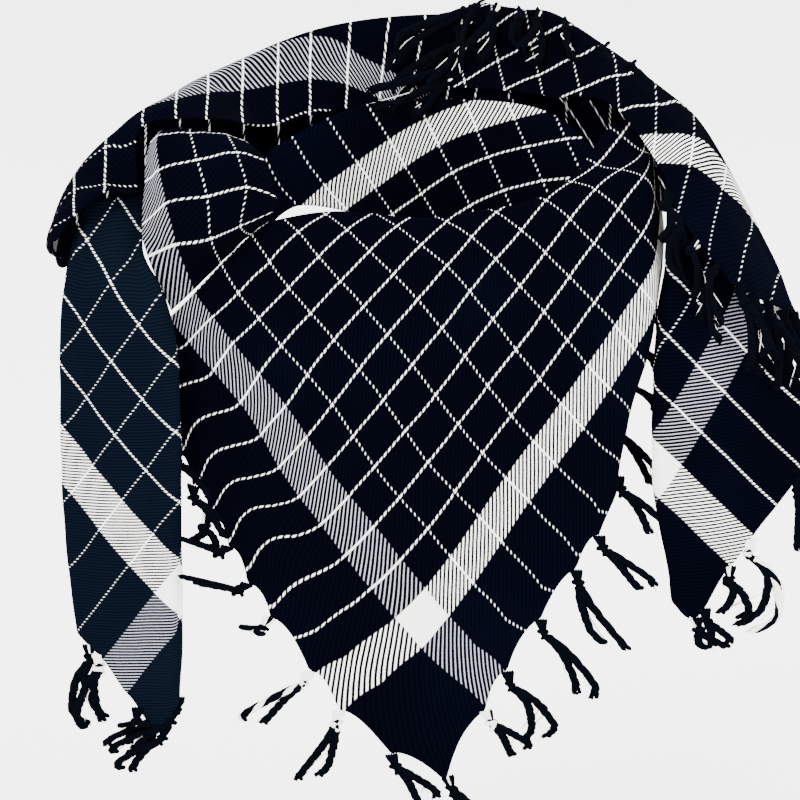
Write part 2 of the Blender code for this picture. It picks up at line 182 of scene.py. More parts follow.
BACK_RIGHT_CELLS = (
    ((6.6, 4.1), (7.1, 5.3), (7.8, 6.3), (7.9, 7.9), (7.9, 10.2)),
    ((8.0, 3.0), (8.4, 4.2), (8.9, 5.2), (9.0, 6.7), (9.0, 9.1)),
    ((9.25, 2.15), (9.6, 3.4), (10.0, 4.4), (10.1, 5.8), (10.2, 8.4)),
    ((10.7, 1.35), (11.16, 2.05), (11.75, 2.1), (12.1, 3.4), (12.3, 5.4)),
    ((12.08, -0.6), (12.54, 0.42), (13.0, 0.95), (13.5, 2.3), (13.6, 4.0)),
    ((12.95, -2.0), (13.47, -0.8), (14.27, 0.0), (14.8, 1.15), (14.9, 2.5)),
    ((13.75, -2.66), (14.6, -1.65), (15.6, -1.6), (16.1, -0.5), (16.2, 0.5)),
    ((14.8, -2.66), (15.8, -2.66), (16.8, -2.5), (17.2, -1.5), (17.3, -0.8)),
)

TAIL_COLUMNS = ("z", "inner", "outer", "y", "depth", "turn")
TAIL_LEFT_ROWS = (
    # height, x of the inner fold and of the outer edge, middle depth, thickness, turn in plan
    (14, -202, -252, 8, 20, -16),
    (-24, -205, -262, -29, 26, -2),
    (-48, -187, -268, -60, 32, 14),
    (-80, -176, -271, -80, 36, 14),
    (-150, -172, -271, -98, 36, 12),
    (-230, -172, -266, -105, 34, 12),
    (-310, -173, -258, -106, 30, 12),
    (-400, -175, -248, -104, 26, 12),
)
TAIL_RIGHT_ROWS = (
    (12, 212, 246, -28, 22, -14),
    (-22, 211, 264, -50, 30, -14),
    (-55, 205, 284, -66, 36, -14),
    (-100, 200, 311, -80, 38, -12),
    (-150, 198, 326, -89, 36, -12),
    (-205, 200, 322, -95, 34, -12),
    (-255, 210, 308, -97, 32, -12),
    (-305, 217, 296, -97, 28, -12),
)
TAIL_LEFT_HEM = (-314, -319, -338, -394, -374, -365)
TAIL_RIGHT_HEM = (-165, -182, -226, -300, -294, -285)
LOOP_FROM = 150          # a tail's loop goes round between these angles
LOOP_TO = 395
LOOP_FRONT = 270         # and this one is the middle of its front
LOOP_FULLNESS = 0.8      # a lower power gives flatter sides
LOOP_DEPTH = 0.36        # its depth against its width
LOOP_STEPS = 241         # places round it at which its length is summed

# Where the bands cross on each tail (x, z), and the way along the front of one cell each way.
TAIL_LEFT_CHECK = {"cross": (-170.7, -279.4), "solid": (23.9, -27.0), "dotted": (21.6, 28.8)}
TAIL_RIGHT_CHECK = {"cross": (200.0, -181.0), "solid": (25.2, -25.1), "dotted": (18.1, 30.6)}
CROSSING = -0.29         # the middle of the bands, in cells


def ease(value):
    """A smooth step from 0 to 1."""
    value = np.clip(value, 0.0, 1.0)
    return value * value * (3.0 - 2.0 * value)


def spans(place, count):
    """The four neighbouring rows of each place from 0 to 1 and their smooth weights."""
    scaled = np.clip(place, 0.0, 1.0) * (count - 1)
    first = np.clip(np.floor(scaled).astype(int), 0, count - 2)
    t = scaled - first
    weights = (
        (-t + 2 * t**2 - t**3) / 2,
        (2 - 5 * t**2 + 3 * t**3) / 2,
        (t + 4 * t**2 - 3 * t**3) / 2,
        (-(t**2) + t**3) / 2,
    )
    rows = [np.clip(first + step, 0, count - 1) for step in (-1, 0, 1, 2)]
    return rows, weights


def along(table, place):
    """A smooth curve through the rows of a table."""
    table = np.asarray(table, float)
    rows, weights = spans(place, len(table))
    shape = (-1,) + (1,) * (table.ndim - 1)
    return sum(w.reshape(shape) * table[r] for r, w in zip(rows, weights))


def spread(table, p, q):
    """A smooth surface through a table: p runs along its rows, q across their columns."""
    table = np.asarray(table, float)
    rows, row_weights = spans(p, table.shape[0])
    columns, column_weights = spans(q, table.shape[1])
    place = 0.0
    for row, row_weight in zip(rows, row_weights):
        for column, column_weight in zip(columns, column_weights):
            place = place + (row_weight * column_weight)[:, None] * table[row, column]
    return place


def loft(table, p, q):
    """The same for a table of places in millimetres."""
    return spread(table, p, q) * MM


def normals(surface, p, q):
    """Unit normals of a surface, by small steps each way."""
    step = 0.004
    down = surface(np.clip(p + step, 0, 1), q) - surface(np.clip(p - step, 0, 1), q)
    over = surface(p, np.clip(q + step, 0, 1)) - surface(p, np.clip(q - step, 0, 1))
    normal = np.cross(down, over)
    return normal / np.maximum(np.linalg.norm(normal, axis=1), 1e-12)[:, None]


def pleated(surface, depth, count, lean):
    """The same surface with soft, uneven pleats that fade out at its edges."""

    def with_pleats(p, q):
        wave = np.sin(2 * np.pi * (count * q + lean * p + 0.07 * np.sin(9 * p)))
        wave = wave * (0.7 + 0.3 * np.sin(5 * q + 3 * p))
        fade = ease(6 * q) * ease(6 * (1 - q)) * ease(8 * p) * ease(8 * (1 - p))
        return surface(p, q) + normals(surface, p, q) * (depth * wave * fade)[:, None]

    return with_pleats


def triangle_sizes(up):
    """The sizes of the triangle at each height on the cloth."""
    rows = along(TRIANGLE_ROWS, (up - TRIANGLE_FIRST) / (TRIANGLE_STEP * (len(TRIANGLE_ROWS) - 1)))
    return dict(zip(TRIANGLE_COLUMNS, rows.T))


def plan(length, curve, turn, turn_angle):
    """Across and back distances after following the chest round by a length."""
    steps = 20
    across = np.zeros_like(length)
    back = np.zeros_like(length)
    for index in range(steps):
        here = length * (index + 0.5) / steps
        angle = 2 * curve * here + turn_angle * ease((here - turn) / TURN_LENGTH)
        across += np.cos(angle) * length / steps
        back += np.sin(angle) * length / steps
    return across, back


def hem_pull(side, up):
    """How far the cloth near the lower left hem lies to the left and below."""
    inwards = (up + side) / 2 - HEM
    pull = along(HEM_PULL, ((up - side) / 2 - HEM) / (len(HEM_PULL) - 1)) * MM
    return pull * (np.clip(1 - inwards / PULL_REACH, 0, 1) ** PULL_FADE)[:, None]


def triangle_at(side, up):
    """The place of a point of the triangle, from its place on the cloth in half cells."""
    size = triangle_sizes(up)
    reach = np.abs(side)
    right = side > 0
    length = reach * np.where(right, size["right"], size["left"]) * MM
    curve = np.where(right, CHEST_CURVE["right"], CHEST_CURVE["left"])
    turn = np.where(right, size["turn"] * MM, 1.0)
    turn_angle = TURN_ANGLE - TURN_OPEN * np.exp(-(((up - TURN_OPEN_AT) / TURN_OPEN_SPREAD) ** 2))
    across, back = plan(length, curve, turn, turn_angle)
    pull = hem_pull(side, up)
    x = size["x"] * MM + np.where(right, across, -across) - pull[:, 0]
    y = size["y"] * MM + back
    z = (size["z"] + reach * np.where(right, size["rise"], size["fall"])) * MM - pull[:, 1]
    wave = np.sin(CHEST_WAVE[0] * side + CHEST_WAVE[1] * up)
    pleat = CHEST_PLEAT * wave * ease((CHEST_TOP - up) / CHEST_FADE)
    crest = RIDGE_AT + RIDGE_LEAN * (CHEST_TOP - up)
    ridge = CHEST_RIDGE * np.exp(-(((side - crest) / RIDGE_WIDTH) ** 2))
    ridge = ridge * ease((up - RIDGE_FROM) / CHEST_FADE)
    return np.stack([x, y - pleat - ridge, z], axis=1)


def triangle_top(side):
    """How far up the triangle reaches at each place across."""
    neckline = NECKLINE + (RIGHT_TOP - NECKLINE) * ease((side - CLIMB_FROM) / CLIMB_REACH)
    rise = np.exp(-(((side - NECK_RISE_AT) / NECK_RISE_WIDTH) ** 2))
    neckline = neckline + NECK_RISE * rise
    return np.minimum(neckline, 2 * TOP_LEFT + side)


HEM_DRIFT = 0.6          # how far the lines drift outside the left band, in cells
SCALLOP = 0.30           # how far the hem draws in between tassels, in half cells
SCALLOP_FULLNESS = 0.7   # a lower power gives a flatter curve
SCALLOP_FADE = 9         # how fast the scallops fade from the hem inwards
HEM_TASSELS_LEFT = (-2.56, -1.66, -0.6, 0.35, 1.9, 3.0, 4.2, 5.3, 6.4, 7.6, 8.8)
HEM_TASSELS_RIGHT = (-2.56, -0.81, 0.24, 1.54, 2.79, 3.64, 5.0, 6.3, 7.5, 8.5, 9.5)


def scallops(place, tassels):
    """How far the hem is drawn in at each place: 0 at a tassel, most between two."""
    ends = np.array(tassels)
    index = np.clip(np.searchsorted(ends, place) - 1, 0, len(ends) - 2)
    share = np.clip((place - ends[index]) / (ends[index + 1] - ends[index]), 0, 1)
    return np.sin(np.pi * share) ** SCALLOP_FULLNESS


def triangle_place(p, q):
    """Half cells across and up for the triangle; p runs from the hem to the upper edge."""
    left = HEM - TOP_LEFT + CORNER
    side = left + q * (SIDE_MAX - left)
    bottom = np.abs(side) + 2 * HEM
    up = bottom + p * (triangle_top(side) - bottom)
    return side, up


def triangle(p, q):
    side, up = triangle_place(p, q)
    along_left = scallops(-side + HEM, HEM_TASSELS_LEFT)
    along_right = scallops(side + HEM, HEM_TASSELS_RIGHT)
    drawn = SCALLOP * np.where(side < 0, along_left, along_right)
    drawn = drawn * np.exp(-p * SCALLOP_FADE) * (1 - p)
    return triangle_at(side, up + drawn)


def triangle_cells(p, q):
    """Cloth places on the triangle; past the left band its lines drift towards the hem."""
    side, up = triangle_place(p, q)
    u, v = (up + side) / 2, (up - side) / 2
    beyond = np.clip((BAND[0] - u) / (BAND[0] - HEM), 0, 1)
    drift = HEM_DRIFT * ease(1.6 * beyond) * (1 - 0.5 * ease(3 * beyond - 2)) * ease((v - 1) / 3)
    return np.stack([u, v - drift], axis=1)


def roll_cells(p, q):
    along_hem = along(np.array(ROLL_CELLS)[:, None], q)[:, 0]
    up = TOP_LEFT + len(ROLL_ROWS) * (ROLL_START + p * (1 - ROLL_START))
    return np.stack([along_hem, up], axis=1)


def shoulder_left(p, q):
    """The roll of cloth over the left shoulder; it starts on the triangle's upper left line."""
    stations = np.array(ROLL_CELLS)
    joined = triangle_at(stations - TOP_LEFT, stations + TOP_LEFT) / MM
    table = [joined] + [np.array(row) for row in ROLL_ROWS]
    cells = along(stations[:, None], q)[:, 0]
    start = triangle_at(cells - TOP_LEFT, cells + TOP_LEFT) - loft(table, np.zeros_like(q), q)
    p = ROLL_START + p * (1 - ROLL_START)
    return loft(table, p, q) + start * (1 - ease(6 * p))[:, None]


def tail_sizes(rows, hem, p, q):
    """The height of each place on a tail and the sizes of its loop there."""
    rows = np.asarray(rows, float)
    hem_z = along(np.asarray(hem, float)[:, None], q)[:, 0]
    z = rows[0, 0] + p * (hem_z - rows[0, 0])
    place = np.interp(-z, -rows[:, 0], np.linspace(0, 1, len(rows)))
    return z, dict(zip(TAIL_COLUMNS, along(rows, place).T))


def loop_angle(q):
    """The angle round a tail's loop at each place across it."""
    return np.radians(LOOP_FROM + q * (LOOP_TO - LOOP_FROM))


def rounded(value):
    """The flattened side of a loop."""
    return np.sign(value) * np.abs(value) ** LOOP_FULLNESS


def tail(rows, hem, p, q):
    """A flattened open loop: q runs round it from its outer edge, p from its top to its hem."""
    z, size = tail_sizes(rows, hem, p, q)
    angle = loop_angle(q)
    across = (size["inner"] - size["outer"]) / 2 * rounded(np.cos(angle))
    back = size["depth"] / 2 * np.sin(angle)
    turn = np.radians(size["turn"])
    x = (size["inner"] + size["outer"]) / 2 + across * np.cos(turn) + back * np.sin(turn)
    y = size["y"] - across * np.sin(turn) + back * np.cos(turn)
    return np.stack([x, y, z], axis=1) * MM


def tail_left(p, q):
    return tail(TAIL_LEFT_ROWS, TAIL_LEFT_HEM, p, q)


def tail_right(p, q):
    return tail(TAIL_RIGHT_ROWS, TAIL_RIGHT_HEM, p, q)


def tail_cells(rows, hem, check, p, q):
    """Cloth places on a tail, unrolled from its front; the far border lies on its inner side."""
    z, size = tail_sizes(rows, hem, p, q)
    fine = np.linspace(0, 1, LOOP_STEPS)
    angle = loop_angle(fine)
    wide = np.abs(np.diff(rounded(np.cos(angle))))
    deep = LOOP_DEPTH * np.abs(np.diff(np.sin(angle)))
    steps = np.maximum(wide, deep)
    length = np.concatenate([[0.0], np.cumsum(steps)])
    front = np.interp(math.radians(LOOP_FRONT), angle, length)
    half = np.abs(size["inner"] - size["outer"]) / 2
    facing = np.sign(size["inner"] - size["outer"])
    across = facing * half * (np.interp(q, fine, length) - front)
    across = across + (size["inner"] + size["outer"]) / 2 - check["cross"][0]
    down = z - check["cross"][1]
    (sx, sz), (dx, dz) = check["solid"], check["dotted"]
    spread_of = sx * dz - sz * dx
    solid = (dz * across - dx * down) / spread_of
    dotted = (sx * down - sz * across) / spread_of
    return np.stack([CELLS_ACROSS - (CROSSING - solid), CROSSING + dotted], axis=1)


def tail_left_cells(p, q):
    return tail_cells(TAIL_LEFT_ROWS, TAIL_LEFT_HEM, TAIL_LEFT_CHECK, p, q)


def tail_right_cells(p, q):
    return tail_cells(TAIL_RIGHT_ROWS, TAIL_RIGHT_HEM, TAIL_RIGHT_CHECK, p, q)


def nape(p, q):
    return loft(NAPE_ROWS, p, q)


def nape_cells(p, q):
    return spread(NAPE_CELLS, p, q)


def back_left(p, q):
    return loft(BACK_LEFT_ROWS, p, q)


def back_left_cells(p, q):
    """Cloth places across the nape; the upright lines are placed by the table above."""
    u = spread(np.array(BACK_LEFT_U)[:, :, None], p, q)[:, 0]
    (_, places), (_, cells) = BACK_LEFT_LINES
    spot = back_left(p, q) / MM
    lean = BACK_LEFT_LEAN * ease((spot[:, 0] - LEAN_FROM) / LEAN_REACH) * ease((LEAN_END - q) * 4)
    across = spot[:, 0] + lean * (LEAN_HEIGHT - spot[:, 2])
    return np.stack([u, np.interp(across, places, cells)], axis=1)


def back_right(p, q):
    return loft(BACK_RIGHT_ROWS, p, q)


def back_right_cells(p, q):
    return spread(BACK_RIGHT_CELLS, p, q)


# --- shader sums as Python expressions -----------------------------------------------------------


class Wire:
    """A shader socket that takes part in Python sums."""

    def __init__(self, tree, socket):
        self.tree = tree
        self.socket = socket

    def node(self, kind, settings=None, output=0, **inputs):
        """Any node: its settings are set first, then its sockets get values or links."""
        made = self.tree.nodes.new(kind)
        for name, value in (settings or {}).items():
            setattr(made, name, value)
        for name, value in inputs.items():
            place = int(name[1:]) if name[1:].isdigit() else name.replace("_", " ")
            if isinstance(value, Wire):
                self.tree.links.new(value.socket, made.inputs[place])
            else:
                made.inputs[place].default_value = value
        return Wire(self.tree, made.outputs[output])

    def maths(self, operation, *values, clamp=False):
        inputs = {f"_{index}": value for index, value in enumerate(values)}
        return self.node("ShaderNodeMath", {"operation": operation, "use_clamp": clamp}, **inputs)

    def __add__(self, other):
        return self.maths("ADD", self, other)

    def __sub__(self, other):
        return self.maths("SUBTRACT", self, other)

    def __rsub__(self, other):
        return self.maths("SUBTRACT", other, self)

    def __mul__(self, other):
        return self.maths("MULTIPLY", self, other)

    def __truediv__(self, other):
        return self.maths("DIVIDE", self, other)

    def __abs__(self):
        return self.maths("ABSOLUTE", self)

    __radd__ = __add__
    __rmul__ = __mul__

    def above(self, edge, soft):
        """1 where this is over an edge, 0 under it, and soft between."""
        return self.maths("ADD", (self - edge) / soft, 0.5, clamp=True)

    def least(self, other):
        return self.maths("MINIMUM", self, other)

    def most(self, other):
        return self.maths("MAXIMUM", self, other)

    def part(self):
        return self.maths("FRACT", self)

    def mixed(self, first, second):
        """A colour between two, with this as the share of the second."""
        return self.node(
            "ShaderNodeMix", {"data_type": "RGBA"}, 2, _0=self, _6=first, _7=second
        )


def start_material(name, sheen, roughness):
    made = bpy.data.materials.new(name)
    made.use_nodes = True
    tree = made.node_tree
    shader = tree.nodes["Principled BSDF"]
    shader.inputs["Roughness"].default_value = roughness
    shader.inputs["Specular IOR Level"].default_value = 0.0
    shader.inputs["Sheen Weight"].default_value = sheen
    shader.inputs["Sheen Roughness"].default_value = 0.45
    return made, tree, shader


# Twill ribs met along one yarn in a cell; those of the tails lie closer.
RIBS = {"chest": 7.1, "right tail": 10.0, "left tail": 11.4}
WEFT_SHARE = 0.62        # how much of each rib is weft
WEFT_SEEN = 0.52         # and how much of it shows white in a band; past that the groove is painted dark as shade
WEFT_LINE = 0.050        # a white line of the weft, in cells
WARP_LINE = 0.040        # and of the warp
YARNS_PER_CELL = 60.0
HIGHLIGHT_PATCH_SCALE = 0.21       # painted highlight: bluer patches of the ground, over a few cells at a time, placed at random
HIGHLIGHT_PATCH_EDGE = (0.60, 0.20)
PALE = (0.80, 0.79, 0.76, 1.0)
PALE_WARP = (0.26, 0.26, 0.30, 1.0)
PALE_SHADE = (0.55, 0.54, 0.53, 1.0)
RIB_EDGE = 0.12          # how soft the edge of a rib is, and of a line or band
LINE_EDGE = 0.02
CLOTH_SHEEN = 0.002
CLOTH_ROUGHNESS = 0.86
YARN_SHEEN = 0.003
YARN_ROUGHNESS = 0.8
YARN_SHADE = (0.0012, 0.0017, 0.0030, 1.0)
PALE_YARN_SHADE = (0.42, 0.41, 0.38, 1.0)


def twill(name, ground, rib_sheen, painted_highlight, line_share, ribs_per_cell):
    """Dark twill with off-white check lines and bands, drawn on the cloth's own places."""
    made, tree, shader = start_material(name, CLOTH_SHEEN, CLOTH_ROUGHNESS)
    start = Wire(tree, None)
    places = start.node("ShaderNodeUVMap", {"uv_map": "Cloth"})
    split = places.node("ShaderNodeSeparateXYZ", _0=places)
    u = split
    v = Wire(tree, split.socket.node.outputs[1])
    wobble = places.node("ShaderNodeTexNoise", _0=places, Scale=1.3, Detail=2.0)
    wander = (wobble - 0.5) * 0.05

    ribs = ((u - v) * ribs_per_cell + wander * 6).part()
    slub = places.node("ShaderNodeTexNoise", _0=places, Scale=26.0, Detail=2.0)
    rough_edge = (slub - 0.5) * 0.16

    def between(first, last):
        """1 over one stretch of each rib, with soft, slightly ragged edges."""
        ragged = ribs + rough_edge
        return ragged.above(first, RIB_EDGE) * (1 - ragged.above(last, RIB_EDGE))

    def white(cells, width):
        """How white the yarns of one way are, by their cell: in its lines, and in its band."""
        near = cells.least(CELLS_ACROSS - cells) + wander
        line = 1 - abs((near + 0.5).part() - 0.5).above(width * line_share / 2, LINE_EDGE)
        band = near.above(BAND[0], LINE_EDGE) * (1 - near.above(BAND[1], LINE_EDGE))
        return line * near.above(0.5, 0.01), band

    weft_top = between(0.03, WEFT_SHARE)
    warp_line, warp_band = white(u, WARP_LINE)
    weft_line, weft_band = white(v, WEFT_LINE)
    warp, weft = warp_line.most(warp_band), weft_line.most(weft_band)
    # The stretches left out between weft and warp show the dark ground: painted shade in the
    # grooves between the ribs.
    seen = weft_line * weft_top + weft_band * between(0.06, WEFT_SEEN)
    seen = seen.most(warp * between(WEFT_SHARE + 0.04, 0.97)).most(warp * weft)
    thread = places.node("ShaderNodeTexNoise", _0=places, Scale=9.0, Detail=3.0)
    # Painted highlight: random patches where the ground turns bluer, standing in for the faint
    # highlights on the folds.
    highlight_patch = places.node("ShaderNodeTexNoise", _0=places, Scale=HIGHLIGHT_PATCH_SCALE, Detail=1.5)
    # Weft floats take the rib colour, a painted sheen lighter than the ground; the thread noise
    # varies its strength.
    dark = (weft_top * (0.35 + thread * 0.9)).mixed(ground, rib_sheen)
    dark = (highlight_patch.above(*HIGHLIGHT_PATCH_EDGE) * (0.4 + weft_top * 0.6)).mixed(dark, painted_highlight)
    light = (slub * 0.35).mixed(PALE, PALE_SHADE)
    bright = weft_top.most(weft).most(warp_line)
    colour = seen.mixed(dark, bright.mixed(PALE_WARP, light))
    tree.links.new(colour.socket, shader.inputs["Base Color"])

    float_height = 1 - abs(ribs - WEFT_SHARE / 2) * 2.0
    yarn_over = abs(((u + wander) * YARNS_PER_CELL).part() - 0.5)
    yarn_up = abs((v * YARNS_PER_CELL).part() - 0.5)
    height = float_height * 0.7 + (yarn_over + yarn_up) * 0.35 + slub * 0.35 + seen * 0.6
    bump = places.node("ShaderNodeBump", Strength=0.55, Distance=0.0005, Height=height)
    tree.links.new(bump.socket, shader.inputs["Normal"])
    return made


def yarn_finish(name, ground):
    """Twisted fringe yarn: its map holds the place along a strand and how pale the strand is."""
    made, tree, shader = start_material(name, YARN_SHEEN, YARN_ROUGHNESS)
    start = Wire(tree, None)
    places = start.node("ShaderNodeUVMap", {"uv_map": "Cloth"})
    split = places.node("ShaderNodeSeparateXYZ", _0=places)
    pale = Wire(tree, split.socket.node.outputs[1])
    grain = places.node("ShaderNodeTexNoise", _0=places, Scale=140.0, Detail=3.0)
    twist = places.node(
        "ShaderNodeTexWave", {"bands_direction": "DIAGONAL"}, _0=places, Scale=110.0, Distortion=3.0
    )
    dark = (grain * 0.7).mixed(ground, YARN_SHADE)
    light = (grain * 0.6).mixed(PALE, PALE_YARN_SHADE)
    colour = pale.above(0.5, 0.1).mixed(dark, light)
    tree.links.new(colour.socket, shader.inputs["Base Color"])
    bump = places.node("ShaderNodeBump", Strength=0.6, Distance=0.0004, Height=twist + grain)
    tree.links.new(bump.socket, shader.inputs["Normal"])
    return made


# --- cloth ---------------------------------------------------------------------------------------

CREASE_COLUMNS = ("from_p", "from_q", "to_p", "to_q", "width", "height")
RUMPLE = 0.0005          # depth of the fine unevenness all over


def creased(surface, creases):
    """The surface with its main creases: soft ridges, or troughs where the height is below 0."""

    def with_creases(p, q):
        place = surface(p, q)
        lift = np.zeros_like(p)
        for values in creases:
            crease = dict(zip(CREASE_COLUMNS, values))
            ends = surface(
                np.array([crease["from_p"], crease["to_p"]], float),
                np.array([crease["from_q"], crease["to_q"]], float),
            )
            run = ends[1] - ends[0]
            share = np.clip((place - ends[0]) @ run / (run @ run), 0, 1)
            away = np.linalg.norm(place - ends[0] - share[:, None] * run, axis=1)
            taper = ease(share * 4) * ease((1 - share) * 4)
            lift += crease["height"] * MM * taper * np.exp(-((away / (crease["width"] * MM)) ** 2))
        rumple = RUMPLE * np.sin(31 * p + 17 * q) * np.sin(23 * q - 11 * p + 1.3)
        return place + normals(surface, p, q) * (lift + rumple)[:, None]

    return with_creases


def cloth(name, surface, cells, rows, columns, finish):
    """A thin shell on a surface, with its cloth places as its map."""
    grid = bmesh.new()
    bmesh.ops.create_grid(grid, x_segments=rows, y_segments=columns, size=0.5)
    places = np.array([vert.co[:2] for vert in grid.verts]) + 0.5
    p, q = places[:, 0], places[:, 1]
    points = surface(p, q)
    marks = cells(p, q)
    for vert, point in zip(grid.verts, points):
        vert.co = point
    grid.verts.index_update()
    sheet_map = grid.loops.layers.uv.new("Cloth")
    for face in grid.faces:
        for loop in face.loops:
            loop[sheet_map].uv = marks[loop.vert.index]
    mesh = bpy.data.meshes.new(name)
    grid.to_mesh(mesh)
    grid.free()
    mesh.shade_smooth()
    mesh.materials.append(finish)
    made = bpy.data.objects.new(name, mesh)
    bpy.context.scene.collection.objects.link(made)
    thicken = made.modifiers.new("Wall", "SOLIDIFY")
    thicken.thickness = WALL
    thicken.offset = 0.0
    return made, cut_of(marks, mesh)


def cut_of(marks, mesh):
    """The width, length and area that a panel takes from the square, from its cloth places."""
    width, length = np.ptp(marks, axis=0) * CELL
    area = 0.0
    for face in mesh.polygons:
        corners = marks[list(face.vertices)] * CELL
        ahead = np.roll(corners, -1, axis=0)
        area += (corners[:, 0] * ahead[:, 1] - ahead[:, 0] * corners[:, 1]).sum() / 2
    return float(width), float(length), float(abs(area))


# --- fringe --------------------------------------------------------------------------------------


KNOT = 0.0037            # the knot's radius
NECK = 0.006             # how far the knot is from the hem
FAN_YARNS = 5            # yarns that run from the hem to the knot
FAN_YARN = 0.0015        # their radius
PLY = 0.0025             # the radius of each ply of a twisted end
PLY_TURN = 0.0018        # and how far it goes round the end's middle
PLIES = 3
THREAD = 0.00045         # the radius of a loose thread
THREADS = 3
TASSEL_WIDTH = 0.0045
END_STEPS = 13


class Fringe:
    """A row of knotted tassels, joined in one mesh."""

    SIDES = 6

    def __init__(self, name):
        self.name = name
        self.grid = bmesh.new()
        self.map = self.grid.loops.layers.uv.new("Cloth")

    def strand(self, path, radius, pale, steps=12, tip=0.5):
        """A tube along a path of points; its radius shrinks to a share of itself at its tip."""
        path = np.array(path, float)
        made = bmesh.ops.create_grid(self.grid, x_segments=steps, y_segments=self.SIDES, size=0.5)
        verts = made["verts"]
        places = np.array([vert.co[:2] for vert in verts]) + 0.5
        p, turn = places[:, 0], places[:, 1] * 2 * np.pi
        centre = along(path, p)
        ahead = along(path, np.clip(p + 0.02, 0, 1)) - along(path, np.clip(p - 0.02, 0, 1))
        ahead /= np.maximum(np.linalg.norm(ahead, axis=1), 1e-9)[:, None]
        first = np.cross(ahead, np.array([0.12, 1.0, 0.05]))
        first /= np.maximum(np.linalg.norm(first, axis=1), 1e-9)[:, None]
        second = np.cross(ahead, first)
        thick = radius * (1 - (1 - tip) * p) * ease(p * 14 + 0.02) * ease((1 - p) * 14 + 0.02)
        round_it = first * np.cos(turn)[:, None] + second * np.sin(turn)[:, None]
        length = float(np.linalg.norm(np.diff(path, axis=0), axis=1).sum())
        for vert, point in zip(verts, centre + round_it * thick[:, None]):
            vert.co = point
        at = {vert: share * length for vert, share in zip(verts, p)}
        for face in {face for vert in verts for face in vert.link_faces}:
            for loop in face.loops:
                loop[self.map].uv = (at[loop.vert], pale)

    def knot(self, centre, ahead, size, pale):
        """A tight overhand knot: a core with two turns of yarn round it."""
        ahead = Vector(ahead).normalized()
        turn = ahead.to_track_quat("Z", "Y").to_matrix().to_4x4()
        shape = Matrix.Diagonal((size, size * 0.8, size * 1.35, 1.0))
        bmesh.ops.create_uvsphere(
            self.grid,
            u_segments=8,
            v_segments=6,
            radius=1.0,
            matrix=Matrix.Translation(centre) @ turn @ shape,
        )
        for lift, lean in ((-0.45, 0.5), (0.4, -0.45)):
            ring = []
            for step in range(9):
                angle = step / 8 * 2 * math.pi
                height = size * (lift + lean * math.sin(angle))
                side = Vector((math.cos(angle) * size, math.sin(angle) * size * 0.85, height))
                ring.append(Vector(centre) + turn.to_3x3() @ side)
            self.strand(ring, size * 0.42, pale, 12, 1.0)

    def tassel(self, root, out, tip, curl, pale, width, seed):
        """One tassel: fan, knot, two twisted plies and a few loose threads."""
        root, out, tip = (np.array(value, float) for value in (root, out, tip))
        rng = np.random.default_rng(seed)
        out = out / np.linalg.norm(out)
        hem = np.cross(out, [0.0, 1.0, 0.0])
        hem /= max(np.linalg.norm(hem), 1e-6)
        drop = tip - root
        size = KNOT * rng.uniform(0.9, 1.15)
        top = root + out * NECK + drop / max(np.linalg.norm(drop), 1e-6) * NECK
        for index in range(FAN_YARNS):
            start = root - out * FAN_YARN + hem * width * (index - FAN_YARNS // 2) / 2
            way = [start, start + (top - start) * 0.5 + out * 0.001, top]
            self.strand(way, FAN_YARN, float(rng.random() < pale), 6, 1.0)
        self.knot(top, drop, size, float(pale > 0.8))
        bend = np.array([curl * 0.014, -0.002, 0.0])
        for side in (-1, 1):
            end = tip + hem * side * rng.uniform(0.003, 0.009) + drop * rng.uniform(-0.16, 0.04)
            middle = top + (end - top) * 0.5 + bend + hem * side * 0.002
            late = top + (end - top) * 0.8 + bend * 0.9 + hem * side * 0.003
            share = np.linspace(0, 1, END_STEPS)
            axis = along([top, (top + middle) / 2 + bend * 0.3, middle, late, end], share)
            open_up = PLY_TURN * (1 + 0.8 * ease(share * 4 - 3))
            turns = rng.uniform(1.5, 2.5)
            for ply in range(PLIES):
                angle = 2 * np.pi * (turns * share + ply / PLIES)
                offset = hem * np.cos(angle)[:, None] + np.array([0, 1, 0]) * np.sin(angle)[:, None]
                light = float(rng.random() < pale * 0.15)
                self.strand(axis + offset * open_up[:, None], PLY, light, 14, 0.75)
        for index in range(THREADS):
            end = tip + hem * rng.uniform(-0.010, 0.010) + drop * rng.uniform(-0.25, 0.1)
            middle = top + (end - top) * 0.55 + bend * 1.4 + hem * rng.uniform(-0.006, 0.006)
            loose = float(rng.random() < 0.35 + pale)
            self.strand([top, (top + middle) / 2, middle, end], THREAD, loose, 12, 0.7)

    def finish(self, material):
        bmesh.ops.remove_doubles(self.grid, verts=self.grid.verts, dist=1e-6)
        bmesh.ops.recalc_face_normals(self.grid, faces=self.grid.faces)
        mesh = bpy.data.meshes.new(self.name)
        self.grid.to_mesh(mesh)
        self.grid.free()
        mesh.shade_smooth()
        mesh.materials.append(material)
        made = bpy.data.objects.new(self.name, mesh)
        bpy.context.scene.collection.objects.link(made)
        return made


def hang(name, edge, inside, tassels, material):
    """A fringe on a hem. Each tassel's columns: place along the hem, its tip across, forward
    and up from its root, how it curls, and how pale it is."""
    made = Fringe(name)
    for index, (place, across, forward, up, curl, pale) in enumerate(tassels):
        spot = np.array([place])
        root = edge(spot)[0]
        out = root - inside(spot)[0]
        tip = root + np.array([across, -forward, up]) * MM
        made.tassel(root, out, tip, curl, pale, TASSEL_WIDTH, 100 + index)
    return made.finish(material)


# --- the pieces ----------------------------------------------------------------------------------

